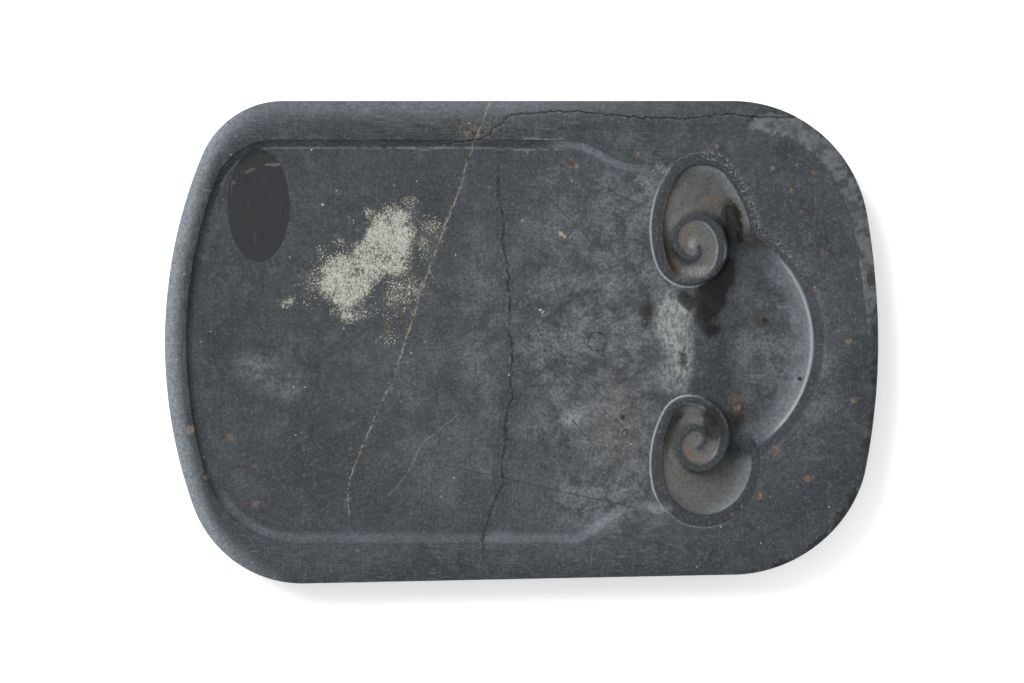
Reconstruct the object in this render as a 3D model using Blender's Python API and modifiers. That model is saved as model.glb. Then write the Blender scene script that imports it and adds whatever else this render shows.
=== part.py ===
"""Inkstone: one block of slate with a raised rim, a sunk grinding floor and, at the right end, an ink well
in the shape of a cloud, whose two side lobes each hold a standing scroll.

Units are metres and +Z is up. The origin is on the underside, below the middle of the block. +X runs along
the block to the end with the ink well, and +Y to its back side.
"""

import math

import bmesh
import bpy
from mathutils import Matrix, Vector

MM = 0.001

# The block
LENGTH = 190 * MM
WIDTH = 128.5 * MM
THICKNESS = 20 * MM
LEFT_BOW = 130 * MM  # radius of the shallow curve across each end
RIGHT_BOW = 199 * MM
LEFT_CORNERS = (23.5 * MM, 31 * MM)  # back corner, front corner
RIGHT_CORNERS = (36.5 * MM, 34.5 * MM)
FRONT_TAPER = 3.9  # share of its half-width that the front side loses, per square metre of the way right
TAPER_FROM = -40 * MM  # where along the block that starts
FRONT_STEPS = 10  # lengths that the front side is drawn in
EDGE_ROUND = 4.5 * MM  # round of the upper outer edge
FOOT_ROUND = 1.8 * MM  # round of the lower outer edge
ROUND_SEGMENTS = 3

# The grinding floor
LEFT_RIM = 5.8 * MM
SIDE_RIM = 10.4 * MM
FLOOR_CORNERS = (17 * MM, 26 * MM)  # back corner, front corner
FLOOR_DEPTH_LEFT = 3.6 * MM
FLOOR_DEPTH_LIP = 2.6 * MM
FLOOR_FILLET = 1.5 * MM  # where its walls meet the floor
OGEE_LENGTH = 18 * MM  # over which each side wall curves in to the neck
NECK_LENGTH = 15 * MM  # from there to the lip

# The cloud. Its plan is drawn around the centre of its middle lobe, at the size it has when the side
# shoulder is as below, and it grows and shrinks with the width of the block.
SIDE_SHOULDER = 13.9 * MM  # flat left between the back lobe and the back edge
END_SHOULDER = 17.2 * MM  # from the middle lobe to the right end
MIDDLE_LOBE_RADIUS = 33.3 * MM
DRAWN_REACH = 50.3 * MM  # of the back lobe, from the middle line
BACK_NECK = 47.6 * MM  # half-widths of the neck
FRONT_NECK = 45.2 * MM
LIP_OFFSET = 1.5 * MM  # from the middle lobe's centre to the lip
LIP_RUN = 13 * MM  # length of the ramp from the lip down to the well's floor
LIP_HALF_WIDTH = 24 * MM
WELL_DEPTH = 9 * MM
DISH_REACH = (40 * MM, 55 * MM)  # half-length and half-width of the bowl that forms the well's floor
DISH_OFFSET = 15.5 * MM  # from the middle lobe's centre to the bowl's

# Each scroll's outer line starts at a cusp of the cloud, runs round its lobe and curls in. The arcs are
# (radius in millimetres, degrees turned), and turn is 1 to the left and -1 to the right.
BACK_SCROLL = {
    "start": (18.4 * MM, 30.2 * MM),
    "heading": 100.5,
    "turn": 1,
    "arcs": [(37.4, 27.5), (10.2, 109), (28.7, 51), (9.5, 119), (10.6, 89), (6.6, 198), (2.7, 159)],
}
FRONT_SCROLL = {
    "start": (18.7 * MM, -28.8 * MM),
    "heading": -80.5,
    "turn": -1,
    "arcs": [(19.6, 45), (13.9, 133), (29.1, 41), (7.5, 66), (10.9, 127), (6.4, 198), (3.3, 190)],
}
LOBE_TURN = 180  # degrees turned when the line leaves the lobe for the scroll
LOBE_CLOSED = 330  # degrees turned when it has gone all round the lobe
BAND_WIDTH = 2.9 * MM  # of the standing band, along the lobe
BAND_TIP = 0.8 * MM  # and at the middle of the scroll
BAND_DROP = 0.45 * MM  # from the shoulder down to the band's top
SCROLL_DEPTH = 3.4 * MM  # from the shoulder down to the floor between the scroll's turns
TRIM_MARGIN = 0.4 * MM  # how far outside the band the trimming cut passes

SMALL_ARC_STEP = 9  # degrees between points
END_ARC_STEP = 3
MARGIN = 6 * MM  # how far cutters pass outside the block and joined pieces reach into it

SLATE = (0.09, 0.097, 0.108, 1)


def clear_scene():
    for old in list(bpy.data.objects):
        bpy.data.objects.remove(old, do_unlink=True)


def new_collection(name):
    made = bpy.data.collections.new(name)
    bpy.context.scene.collection.children.link(made)
    return made


# Outlines


def arc(centre, radius, start, end, step=SMALL_ARC_STEP):
    """Points on a circle from one angle in degrees to another, both included."""
    count = max(2, math.ceil(abs(end - start) / step))
    angles = [math.radians(start + (end - start) * i / count) for i in range(count + 1)]
    return [(centre[0] + radius * math.cos(a), centre[1] + radius * math.sin(a)) for a in angles]


def bowed_end(tip, bow, half_width, corners, side):
    """One end of an outline, from the back round to the front: corner, shallow bow, corner."""
    places = []
    for corner, way in zip(corners, (1, -1)):
        rise = half_width - corner
        run = math.sqrt((bow - corner) ** 2 - rise**2)
        places.append(((tip - bow + run, way * rise), way * math.degrees(math.atan2(rise, run))))
    (back, back_angle), (front, front_angle) = places
    points = arc(back, corners[0], 90, back_angle)
    points += arc((tip - bow, 0), bow, back_angle, front_angle, END_ARC_STEP)[1:-1]
    points += arc(front, corners[1], front_angle, -90)
    return [(side * x, y) for x, y in points]


def fitted(points, length, width):
    """The outline with its box made this size and centred on the origin."""
    low, high = ([pick(axis) for axis in zip(*points)] for pick in (min, max))
    sizes = (length, width)
    scale = [size / (b - a) for size, a, b in zip(sizes, low, high)]
    middle = [(a + b) / 2 for a, b in zip(low, high)]
    return [tuple(s * (v - m) for v, s, m in zip(point, scale, middle)) for point in points]


def block_outline():
    right = bowed_end(LENGTH / 2, RIGHT_BOW, WIDTH / 2, RIGHT_CORNERS, 1)
    left = bowed_end(LENGTH / 2, LEFT_BOW, WIDTH / 2, LEFT_CORNERS, -1)
    start, end = right[-1][0], left[-1][0]
    front = [(start + (end - start) * i / FRONT_STEPS, -WIDTH / 2) for i in range(1, FRONT_STEPS)]
    tapered = []
    for x, y in right + front + left[::-1]:
        loss = FRONT_TAPER * max(0, x - TAPER_FROM) ** 2 if y < 0 else 0
        tapered.append((x, y * (1 - loss)))
    return fitted(tapered, LENGTH, WIDTH)


def ogee(start, end, count=8):
    """An S-curve from one point to another that leaves and arrives level."""
    points = []
    for i in range(count + 1):
        share = i / count
        rise = (1 - math.cos(math.pi * share)) / 2
        points.append((start[0] + (end[0] - start[0]) * share, start[1] + (end[1] - start[1]) * rise))
    return points


def floor_outline(scale, lip):
    """The grinding floor: a bowed left end, level sides, and an S-curve on each side into the neck."""
    half_width = WIDTH / 2 - SIDE_RIM
    bow = LEFT_BOW - LEFT_RIM
    points = bowed_end(LENGTH / 2 - LEFT_RIM, bow, half_width, FLOOR_CORNERS, -1)
    step_end = lip - NECK_LENGTH
    step_start = step_end - OGEE_LENGTH
    points += ogee((step_start, -half_width), (step_end, -FRONT_NECK * scale))
    points += [(lip, -FRONT_NECK * scale), (lip, BACK_NECK * scale)]
    points += ogee((step_end, BACK_NECK * scale), (step_start, half_width))
    return points


def scroll_line(scroll, scale, centre_x):
    """The scroll's outer line, as (x, y, heading in radians, degrees turned so far)."""
    x, y = (scale * value for value in scroll["start"])
    heading, turn, turned = scroll["heading"], scroll["turn"], 0
    line = [(centre_x + x, y, math.radians(heading), 0)]
    for radius, sweep in scroll["arcs"]:
        x, y, angle, _ = line[-1]
        radius *= turn * scale * MM
        centre = (x - radius * math.sin(angle), y + radius * math.cos(angle))
        count = max(2, math.ceil(sweep / SMALL_ARC_STEP))
        for i in range(1, count + 1):
            now = angle + turn * math.radians(sweep * i / count)
            place = (centre[0] + radius * math.sin(now), centre[1] - radius * math.cos(now))
            line.append((*place, now, turned + sweep * i / count))
        turned += sweep
    return line


def band_width(turned, whole):
    """The band keeps its width round the lobe, then narrows evenly to its tip."""
    share = max(0, (turned - LOBE_TURN) / (whole - LOBE_TURN))
    return BAND_WIDTH + (BAND_TIP - BAND_WIDTH) * share


def inset(line, turn, share=0.0, extra=0.0, first=0.0, last=math.inf):
    """The line moved in by a share of the band's width plus a distance, over a stretch of its turning."""
    whole = line[-1][3]
    points = []
    for x, y, angle, turned in line:
        if first <= turned <= last:
            move = turn * (share * band_width(turned, whole) + extra)
            points.append((x - move * math.sin(angle), y + move * math.cos(angle)))
    return points


# Solids


def weld(mesh, distance=0.00001, flat=math.radians(0.5)):
    """Closes the seams round a curve's caps, and makes each cap one face."""
    work = bmesh.new()
    work.from_mesh(mesh)
    bmesh.ops.remove_doubles(work, verts=work.verts, dist=distance)
    bmesh.ops.dissolve_limit(work, angle_limit=flat, verts=work.verts, edges=work.edges)
    bmesh.ops.recalc_face_normals(work, faces=work.faces)
    work.to_mesh(mesh)
    work.free()


def prism(name, points, low, high, into, fillet=0.0):
    """A solid with this outline between two heights: a filled 2D curve, extruded and made a mesh.

    A fillet rounds its upper and lower edges.
    """
    curve = bpy.data.curves.new(name, "CURVE")
    curve.dimensions = "2D"
    curve.fill_mode = "BOTH"
    curve.extrude = (high - low) / 2 - fillet
    curve.bevel_depth = fillet
    curve.bevel_resolution = 1
    curve.offset = -fillet
    line = curve.splines.new("POLY")
    line.points.add(len(points) - 1)
    for point, (x, y) in zip(line.points, points):
        point.co = (x, y, 0, 1)
    line.use_cyclic_u = True
    drawn = bpy.data.objects.new(name + "_outline", curve)
    drawn.location.z = (low + high) / 2
    into.objects.link(drawn)
    bpy.context.view_layer.update()
    graph = bpy.context.evaluated_depsgraph_get()
    mesh = bpy.data.meshes.new_from_object(drawn.evaluated_get(graph))
    mesh.name = name
    mesh.transform(drawn.matrix_world)
    weld(mesh)
    bpy.data.objects.remove(drawn, do_unlink=True)
    solid = bpy.data.objects.new(name, mesh)
    into.objects.link(solid)
    return solid


def ellipsoid(name, centre, half_sizes, into):
    mesh = bpy.data.meshes.new(name)
    work = bmesh.new()
    bmesh.ops.create_uvsphere(work, u_segments=48, v_segments=32, radius=1)
    work.to_mesh(mesh)
    work.free()
    mesh.transform(Matrix.LocRotScale(Vector(centre), None, Vector(half_sizes)))
    solid = bpy.data.objects.new(name, mesh)
    into.objects.link(solid)
    return solid


def boolean(target, operation, other):
    modifier = target.modifiers.new(other.name, "BOOLEAN")
    modifier.operation = operation
    modifier.object = other


def round_outer_edges(block):
    """The upper edge gets the whole round, and the lower edge a smaller share of it."""
    mesh = block.data
    weights = mesh.attributes.new("bevel_weight_edge", "FLOAT", "EDGE")
    shares = {THICKNESS: 1.0, 0.0: FOOT_ROUND / EDGE_ROUND}
    border = {tuple(sorted(key)) for face in mesh.polygons if abs(face.normal.z) < 0.5
              for key in face.edge_keys}
    for edge in mesh.edges:
        heights = [mesh.vertices[i].co.z for i in edge.vertices]
        if tuple(sorted(edge.vertices)) in border and abs(heights[0] - heights[1]) < MM:
            level = min(shares, key=lambda z: abs(z - heights[0]))
            weights.data[edge.index].value = shares[level]
    bevel = block.modifiers.new("outer_rounds", "BEVEL")
    bevel.limit_method = "WEIGHT"
    bevel.width = EDGE_ROUND
    bevel.segments = ROUND_SEGMENTS


def grinding_floor(scale, lip, into):
    """The cutter for the grinding floor, tipped so that the floor rises a little towards the lip."""
    outline = floor_outline(scale, lip)
    run = lip - min(x for x, _ in outline)
    cutter = prism("floor_cut", outline, 0, FLOOR_DEPTH_LEFT + MARGIN, into, FLOOR_FILLET)
    tip = Matrix.Rotation(math.atan2(FLOOR_DEPTH_LIP - FLOOR_DEPTH_LEFT, run), 4, "Y")
    middle_depth = (FLOOR_DEPTH_LEFT + FLOOR_DEPTH_LIP) / 2
    middle = Vector((lip - run / 2, 0, 0))
    seat = Vector((0, 0, THICKNESS - middle_depth))
    cutter.data.transform(Matrix.Translation(middle + seat) @ tip @ Matrix.Translation(-middle))
    return cutter


def well(lines, scale, centre_x, lip, into):
    """The cutter for the well: the cloud's plan, with a dished floor and a ramp up to the lip."""
    low, high = 0, THICKNESS + MARGIN
    half_circle = arc((centre_x, 0), MIDDLE_LOBE_RADIUS * scale, -90, 90, 5)
    cutter = prism("well_cut", half_circle, low, high, into)
    for name, turn, line in lines:
        plan = inset(line, turn, share=0.5, last=LOBE_CLOSED)
        boolean(cutter, "UNION", prism(name + "_lobe_cut", plan, low - MM, high + MM, into))
    reach = [scale * half for half in DISH_REACH]
    bowl = ellipsoid("well_bowl", (centre_x + DISH_OFFSET * scale, 0, THICKNESS), (*reach, WELL_DEPTH), into)
    boolean(cutter, "INTERSECT", bowl)
    lip_z, well_z = THICKNESS - FLOOR_DEPTH_LIP, THICKNESS - WELL_DEPTH
    far, foot = lip - 2 * MIDDLE_LOBE_RADIUS * scale, lip + LIP_RUN * scale
    section = [(far, 0), (foot, 0), (foot, well_z), (lip, lip_z), (far, lip_z)]
    half = LIP_HALF_WIDTH * scale
    ramp = prism("lip_ramp", section, -half, half, into)
    ramp.data.transform(Matrix.Rotation(math.radians(90), 4, "X"))
    boolean(cutter, "DIFFERENCE", ramp)
    return cutter


def inkstone(parts, cutters):
    scale = (WIDTH / 2 - SIDE_SHOULDER) / DRAWN_REACH
    centre_x = LENGTH / 2 - END_SHOULDER - MIDDLE_LOBE_RADIUS * scale
    lip = centre_x + LIP_OFFSET * scale
    lines = [
        (name, scroll["turn"], scroll_line(scroll, scale, centre_x))
        for name, scroll in (("back", BACK_SCROLL), ("front", FRONT_SCROLL))
    ]
    stone = prism("inkstone_block", block_outline(), 0, THICKNESS, parts)
    round_outer_edges(stone)
    boolean(stone, "DIFFERENCE", grinding_floor(scale, lip, cutters))
    boolean(stone, "DIFFERENCE", well(lines, scale, centre_x, lip, cutters))

    root = THICKNESS - WELL_DEPTH - MARGIN / 2
    for name, turn, line in lines:
        scroll_plan = inset(line, turn, share=0.5, first=LOBE_TURN, last=LOBE_TURN + 360)
        boss = prism(name + "_scroll_floor", scroll_plan, root, THICKNESS - SCROLL_DEPTH, cutters)
        boolean(stone, "UNION", boss)
        band_plan = inset(line, turn) + inset(line, turn, share=1)[::-1]
        band = prism(name + "_band", band_plan, root - MM, THICKNESS + MARGIN, cutters)
        boolean(stone, "UNION", band)

    top, above = THICKNESS - BAND_DROP, THICKNESS + 2 * MARGIN
    ring = arc((centre_x, 0), MIDDLE_LOBE_RADIUS * scale + BAND_WIDTH, 0, 360, 5)[:-1]
    trim = prism("band_trim", ring, top, above, cutters)
    for name, turn, line in lines:
        plan = inset(line, turn, extra=-TRIM_MARGIN, last=LOBE_CLOSED)
        boolean(trim, "UNION", prism(name + "_band_trim", plan, top, above + MM, cutters))
    boolean(stone, "DIFFERENCE", trim)
    return stone


def slate_material():
    material = bpy.data.materials.new("slate")
    material.use_nodes = True
    shader = material.node_tree.nodes["Principled BSDF"]
    shader.inputs["Base Color"].default_value = SLATE
    shader.inputs["Roughness"].default_value = 0.6
    shader.inputs["Metallic"].default_value = 0.0
    material.diffuse_color = SLATE
    return material


def main():
    clear_scene()
    parts = new_collection("inkstone")
    cutters = new_collection("inkstone_cutters")
    stone = inkstone(parts, cutters)
    stone.data.materials.append(slate_material())
    for cutter in cutters.objects:
        cutter.hide_render = True
        cutter.display_type = "WIRE"


main()
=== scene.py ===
# %% [markdown]
# # A carved slate inkstone
#
# An inkstone is a block of fine slate on which an ink stick is ground with a little water. This one has a
# raised rim, a wide sunk grinding floor and, at its right end, an ink well in the shape of a cloud with two
# standing scrolls. It is all one stone, so the lesson makes one closed mesh from a drawn plan and a rule
# for its height, then one finish that holds the slate's veins, wear, old ink and lime, with painted
# highlight on walls that face the lamp and painted shadow beside the scrolls.
#
# First the imported frame is loaded. Its box gives every size that follows.

# %% The frame
import math

import bmesh
import bpy
import numpy as np
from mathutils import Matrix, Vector, geometry


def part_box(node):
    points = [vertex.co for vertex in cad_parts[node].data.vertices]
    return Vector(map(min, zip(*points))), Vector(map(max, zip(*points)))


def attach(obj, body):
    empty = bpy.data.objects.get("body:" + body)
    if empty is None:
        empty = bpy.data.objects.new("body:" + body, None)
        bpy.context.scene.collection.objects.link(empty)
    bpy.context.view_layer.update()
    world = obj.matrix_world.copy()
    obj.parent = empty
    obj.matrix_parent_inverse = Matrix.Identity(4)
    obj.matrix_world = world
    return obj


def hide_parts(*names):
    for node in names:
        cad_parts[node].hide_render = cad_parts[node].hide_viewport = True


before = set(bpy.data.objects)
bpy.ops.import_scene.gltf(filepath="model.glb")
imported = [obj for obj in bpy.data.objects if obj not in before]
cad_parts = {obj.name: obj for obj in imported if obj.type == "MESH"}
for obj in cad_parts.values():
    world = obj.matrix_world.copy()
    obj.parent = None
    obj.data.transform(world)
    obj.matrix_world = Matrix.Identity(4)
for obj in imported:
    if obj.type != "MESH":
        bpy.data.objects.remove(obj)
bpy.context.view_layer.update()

MM = 0.001
low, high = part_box("inkstone_block")
LENGTH, WIDTH, TOP = ((high - low) / MM)[:]
scene = bpy.context.scene
print(f"the block is {LENGTH:.1f} x {WIDTH:.1f} x {TOP:.1f} mm")

# %% [markdown]
# ## Drawing the plan
#
# The block's outline is two bowed ends with round corners, a little narrower at the front right. The
# scrolls are chains of arcs, each arc with its own radius, as a carver sets them out with a compass.
# Everything here is in millimetres, and becomes metres only when a mesh is made.

# %% Arcs and outlines
END_BOWS = {-1: 130.0, 1: 199.0}
END_CORNERS = {-1: (23.5, 31.0), 1: (36.5, 34.5)}  # back corner, front corner
FRONT_TAPER, TAPER_FROM = 3.9e-6, -40.0
LEFT_RIM, SIDE_RIM = 5.8, 10.4
FLOOR_CORNERS = (17.0, 26.0)


def arc(centre, radius, start, end, step):
    """Points on a circle from one angle in degrees to another."""
    count = max(2, math.ceil(abs(end - start) / step))
    angles = np.radians(np.linspace(start, end, count + 1))
    return np.column_stack((centre[0] + radius * np.cos(angles), centre[1] + radius * np.sin(angles)))


def bowed_end(tip, bow, half_width, corners, side):
    """One end of an outline, from the back round to the front: corner, shallow bow, corner."""
    places = []
    for corner, way in zip(corners, (1, -1)):
        rise = half_width - corner
        run = math.sqrt((bow - corner) ** 2 - rise**2)
        places.append(((tip - bow + run, way * rise), way * math.degrees(math.atan2(rise, run))))
    (back, back_angle), (front, front_angle) = places
    points = np.vstack((
        arc(back, corners[0], 90, back_angle, 2),
        arc((tip - bow, 0), bow, back_angle, front_angle, 0.5)[1:-1],
        arc(front, corners[1], front_angle, -90, 2),
    ))
    return points * (side, 1)


def evenly(points, step, closed=False):
    """The same line with its points this far apart."""
    line = np.vstack((points, points[:1])) if closed else np.asarray(points, float)
    lengths = np.hypot(*np.diff(line, axis=0).T)
    along = np.concatenate(([0], np.cumsum(lengths)))
    count = max(2, round(along[-1] / step))
    wanted = np.linspace(0, along[-1], count + 1)
    made = np.column_stack([np.interp(wanted, along, line[:, axis]) for axis in (0, 1)])
    return made[:-1] if closed else made


right_end = bowed_end(LENGTH / 2, END_BOWS[1], WIDTH / 2, END_CORNERS[1], 1)
left_end = bowed_end(LENGTH / 2, END_BOWS[-1], WIDTH / 2, END_CORNERS[-1], -1)
outline = np.vstack((right_end, left_end[::-1]))
taper = 1 - FRONT_TAPER * np.maximum(outline[:, 0] - TAPER_FROM, 0) ** 2
outline[:, 1] = np.where(outline[:, 1] > 0, outline[:, 1], outline[:, 1] * taper)
outline = (outline - (outline.min(0) + outline.max(0)) / 2) / np.ptp(outline, axis=0) * (LENGTH, WIDTH)
outline = evenly(outline, 0.75, closed=True)[::-1]  # anticlockwise, so the stone lies to its left
closed_outline = np.vstack((outline, outline[:1]))
print(f"the outline has {len(outline)} points")

# %% The grinding floor's edge
LIP = 46.0
BACK_NECK, FRONT_NECK = 47.6, 45.2
OGEE, NECK = 18.0, 15.0


def ogee(start, end):
    """An S-curve from one point to another that leaves and arrives level."""
    share = np.linspace(0, 1, 24)
    rise = (1 - np.cos(np.pi * share)) / 2
    return np.column_stack((start[0] + (end[0] - start[0]) * share, start[1] + (end[1] - start[1]) * rise))


half_floor = WIDTH / 2 - SIDE_RIM
floor_left = bowed_end(LENGTH / 2 - LEFT_RIM, END_BOWS[-1] - LEFT_RIM, half_floor, FLOOR_CORNERS, -1)
step_end = LIP - NECK
step_start = step_end - OGEE
floor_edge = evenly(np.vstack((
    [(LIP + 4, BACK_NECK)],
    ogee((step_start, half_floor), (step_end, BACK_NECK))[::-1],
    floor_left,
    ogee((step_start, -half_floor), (step_end, -FRONT_NECK)),
    [(LIP + 4, -FRONT_NECK)],
)), 0.7)
print(f"the floor's edge runs {0.7 * len(floor_edge):.0f} mm round the grinding floor")

# %% [markdown]
# ## The scrolls
#
# Each scroll's line starts at a cusp of the cloud, goes round its lobe and curls in. The band is a strip on
# the inner side of the line, narrow at the cusp, widest round the lobe and narrowing to the tip of the
# curl.

# %% Scroll lines
LOBE_RADIUS, END_SHOULDER = 33.3, 17.2
CENTRE = (LENGTH / 2 - END_SHOULDER - LOBE_RADIUS, 0.0)  # of the cloud's middle lobe
BAND, BAND_TIP = 3.1, 0.8
SCROLLS = {
    "back": {"start": (18.4, 30.2), "heading": 100.5, "turn": 1, "lead": 0.9, "band_start": 1.6, "arcs": [
        (37.4, 27.5), (10.2, 109), (28.7, 51), (9.5, 119), (10.6, 89), (6.6, 198), (2.7, 159)]},
    "front": {"start": (18.7, -28.8), "heading": -80.5, "turn": -1, "lead": 0.1, "band_start": 1.9, "arcs": [
        (19.6, 45), (13.9, 133), (29.1, 41), (7.5, 66), (10.9, 127), (6.4, 198), (3.3, 190)]},
}


def ease(value, start, end):
    """0 before start, 1 after end, and a smooth rise between."""
    share = np.clip((np.asarray(value, float) - start) / (end - start), 0, 1)
    return share * share * (3 - 2 * share)


def between(value, start, end, soft):
    """1 from start to end, fading to 0 on both sides."""
    return ease(value, start - soft, start + soft) * (1 - ease(value, end - soft, end + soft))


def band_width(turned, scroll):
    """How wide the band is after its line has turned by this many degrees."""
    whole = sum(sweep for _, sweep in scroll["arcs"])
    first = scroll["band_start"] + (BAND - scroll["band_start"]) * ease(turned, 0, 80)
    narrow = 0.45 * ease(turned, 180, 230) * (1 - ease(turned, 300, 360))
    return first - narrow + (BAND_TIP - BAND) * np.clip((turned - 180) / (whole - 180), 0, 1)


def scroll_rail(scroll):
    """The scroll's outer line as rows of x, y, heading in radians and degrees turned so far."""
    heading, turn = math.radians(scroll["heading"]), scroll["turn"]
    x, y = CENTRE[0] + scroll["start"][0], scroll["start"][1]
    lead = scroll["lead"]
    rail = [(x - lead * math.cos(heading), y - lead * math.sin(heading), heading, 0.0), (x, y, heading, 0.01)]
    turned = 0.0
    for radius, sweep in scroll["arcs"]:
        x, y, angle, _ = rail[-1]
        radius *= turn
        middle = (x - radius * math.sin(angle), y + radius * math.cos(angle))
        count = max(3, math.ceil(abs(radius) * math.radians(sweep) / 0.4))
        for share in np.linspace(0, 1, count + 1)[1:]:
            now = angle + turn * math.radians(sweep * share)
            rail.append((middle[0] + radius * math.sin(now), middle[1] - radius * math.cos(now),
                         now, turned + sweep * share))
        turned += sweep
    return np.array(rail)


def beside(rail, turn, move):
    """The rail's line moved inwards by a distance, which may change along it."""
    return np.column_stack((rail[:, 0] - turn * move * np.sin(rail[:, 2]),
                            rail[:, 1] + turn * move * np.cos(rail[:, 2])))


for scroll in SCROLLS.values():
    scroll["rail"] = scroll_rail(scroll)
    scroll["width"] = band_width(scroll["rail"][:, 3], scroll)
    scroll["spine"] = beside(scroll["rail"], scroll["turn"], scroll["width"] / 2)
print("scroll lines:", {name: len(scroll["rail"]) for name, scroll in SCROLLS.items()})

# %% [markdown]
# ## Veins and cracks
#
# Slate splits and heals: a tan vein and two fainter ones cross the floor, and an open crack runs along the
# back rim. Each is a short chain of points across the block.

# %% Lines in the stone
VEINS = {
    "tan_vein": [(-8.3, 63.9), (-9.9, 60), (-10.7, 57.5), (-12.6, 53.5), (-14.2, 48), (-16.6, 40),
                 (-19, 34.3),
                 (-21.4, 28), (-24.3, 20), (-27, 13.2), (-28.6, 7), (-30.2, 2.3), (-34.7, -11.3),
                 (-38.7, -19),
                 (-41, -24.7), (-44.3, -32.7), (-46.2, -37.2), (-46.2, -42.3), (-45.9, -46)],
    "pale_vein": [(-17.2, -19.6), (-22, -23.4), (-25.4, -26.2), (-27.2, -28.4), (-28.5, -31.3), (-29.8, -34),
                  (-31.5, -36.4), (-34.2, -39.6), (-37.7, -42.3)],
    "dark_vein": [(-5.7, 47), (-6.2, 43.6), (-5.9, 38.8), (-4.9, 28.4), (-3.5, 17.7), (-3, 6), (-3, 1.9),
                  (-2.2, -2.2), (-3, -9.4), (-2.4, -14.5), (-3.7, -19.5), (-4.2, -24.7), (-4.7, -32.3),
                  (-5.2, -37.4), (-7.2, -42), (-9.3, -48.1), (-9.9, -50.7), (-10.2, -53.4), (-10, -57.5)],
    "crack": [(-21.7, 52.7), (-11.5, 54), (-8.9, 55), (-7, 57.2), (-4.6, 58.5), (-2.7, 60.6), (3.4, 60.9),
              (9.5, 61.5), (15.7, 61.2), (29, 60), (42.3, 59.4), (49.5, 60), (56.7, 60.8), (57.8, 60),
              (63.7, 60), (68.7, 59.8), (72.8, 60)],
    "crease": [(65.5, 55.3), (71.7, 54.3), (78, 50), (82.3, 45.7), (85.3, 39.3), (88, 32.7), (89.6, 24.7),
               (91.6, 10), (92.6, 0)],
}
veins = {name: evenly(points, 0.5) for name, points in VEINS.items()}
wander = np.random.default_rng(11).normal(0, 0.16, (len(veins["crack"]), 2))
veins["crack"][1:-1] += (wander + np.roll(wander, 1, 0) + np.roll(wander, 2, 0))[1:-1] / 1.6
SCRATCHES = [[(7.8, 48.7), (32.3, 36)], [(-1.2, 50.7), (2, 46), (5.3, 41), (9.5, 36), (15.5, 30.3), (20, 25)],
             [(1, 14), (3, 8), (4.7, 2.4), (8.2, -1.2), (13, -5.5), (17.4, -8.3)],
             [(19, -10.9), (23, -12), (27.7, -10.4), (33.8, -6.3), (36, -1)],
             [(13, -20), (21.5, -30)], [(8, -26), (14, -29)], [(22, 4), (34, 10)],
             [(-21.7, -32.4), (31.7, -44.4)], [(53.3, -45.7), (66, -52.2)],
             [(-34, 53.5), (-20, 55)], [(62, -53), (78, -44.5)]]

# %% Distances
def measured(points, line, reach, along=None):
    """Each point's distance from a line, positive to its left, and what `along` is at the nearest place."""
    start, run = line[:-1], np.diff(line, axis=0)
    length = (run**2).sum(1)
    length[length == 0] = 1e-12
    along = np.arange(len(line), dtype=float) if along is None else along
    distance, place = np.full(len(points), reach), np.zeros(len(points))
    near = np.flatnonzero(((points > line.min(0) - reach) & (points < line.max(0) + reach)).all(1))
    for some in np.array_split(near, max(1, len(near) * len(run) // 3_000_000)):
        gap = points[some, None] - start
        share = np.clip((gap * run).sum(2) / length, 0, 1)
        off = gap - share[..., None] * run
        square = (off**2).sum(2)
        best = square.argmin(1)
        rows = np.arange(len(some))
        side = run[best, 0] * gap[rows, best, 1] - run[best, 1] * gap[rows, best, 0]
        found = np.minimum(np.sqrt(square[rows, best]), reach)
        distance[some] = np.where(side < 0, -found, found)
        place[some] = along[best] + share[rows, best] * (along[best + 1] - along[best])
    return distance, place


def drift(points, size, seed):
    """Smooth random values between -1 and 1 that change over about this many millimetres."""
    lattice = np.random.default_rng(seed).uniform(-1, 1, (97, 97))
    cell = np.floor(points / size).astype(int)
    part = points / size - cell
    part = part * part * (3 - 2 * part)
    (i, j), (u, v) = (cell % 97).T, part.T
    k, m = (i + 1) % 97, (j + 1) % 97
    return ((lattice[i, j] * (1 - u) + lattice[k, j] * u) * (1 - v)
            + (lattice[i, m] * (1 - u) + lattice[k, m] * u) * v)


# %% Soft patches
def patches(points, ovals, soft):
    """The strongest of several soft ovals: x, y, half-length, half-width, angle, strength."""
    found = np.zeros(len(points))
    for x, y, long, wide, angle, strength in ovals:
        turn = math.radians(angle)
        u = (points[:, 0] - x) * math.cos(turn) + (points[:, 1] - y) * math.sin(turn)
        v = (points[:, 1] - y) * math.cos(turn) - (points[:, 0] - x) * math.sin(turn)
        found = np.maximum(found, strength * (1 - ease(np.hypot(u / long, v / wide), 1 - soft, 1 + soft)))
    return found


CRUMB = [(-12.5, 56.2, 5, 3, -10, 1), (-8, 58, 3, 1.6, 30, 0.8), (-84.6, 40.6, 1.2, 2, 0, 0.6),
         (-24, 58.5, 3, 1, -10, 0.5)]

# %% [markdown]
# ## The rule for the height
#
# The carving is a surface seen from above, so one function gives its height at any place: the shoulder with
# its rounded edges, the sunk floor, the bowl of the well with its coved wall, and the bands and channels of
# the scrolls. It works on distances from the drawn lines, so every wall keeps its shape along a curve.

# %% Depths
FLOOR_LEFT, FLOOR_LIP = 3.6, 2.6
BAND_DROP = 0.45
WELL_DEPTH, BOWL_HALF, BOWL_X = 9.0, (40.0, 55.0), CENTRE[0] + 15.5
CUSPS = (-57.0, 57.8)
FLOOR_ROLL = 0.75  # how far the shoulder rolls down before it meets the floor's wall
CHANNEL_DEPTH, CHANNEL_RISE = 2.3, 1.2
COVE_RUN = 6.7
CURL = 385.0  # degrees turned, after which the band stands inside its own lobe
OFF_BAND = 9.0  # as far from a band as distances are followed


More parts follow.
